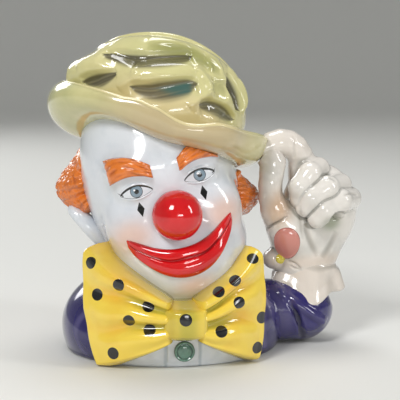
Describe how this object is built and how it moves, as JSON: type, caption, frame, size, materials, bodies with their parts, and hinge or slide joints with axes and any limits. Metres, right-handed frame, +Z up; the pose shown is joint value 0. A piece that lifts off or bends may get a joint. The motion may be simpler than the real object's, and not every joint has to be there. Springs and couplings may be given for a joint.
{
  "type": "clown character jug",
  "caption": "Slip-cast, glazed character jug: a clown's head and shoulders with a battered hat, a big bow tie and a raised, gloved arm as the handle.",
  "frame": {"origin": "middle of the flat underside, on the surface that the jug stands on, right under the knot of the bow tie", "axes": "+Z up, -Y the way the face looks, +X towards the handle"},
  "size_m": [0.166, 0.1247, 0.165],
  "materials": {
    "glazed_earthenware": "glossy clear glaze over painted colours"
  },
  "bodies": {
    "root": {"clown_jug": "glazed_earthenware"}
  },
  "joints": []
}
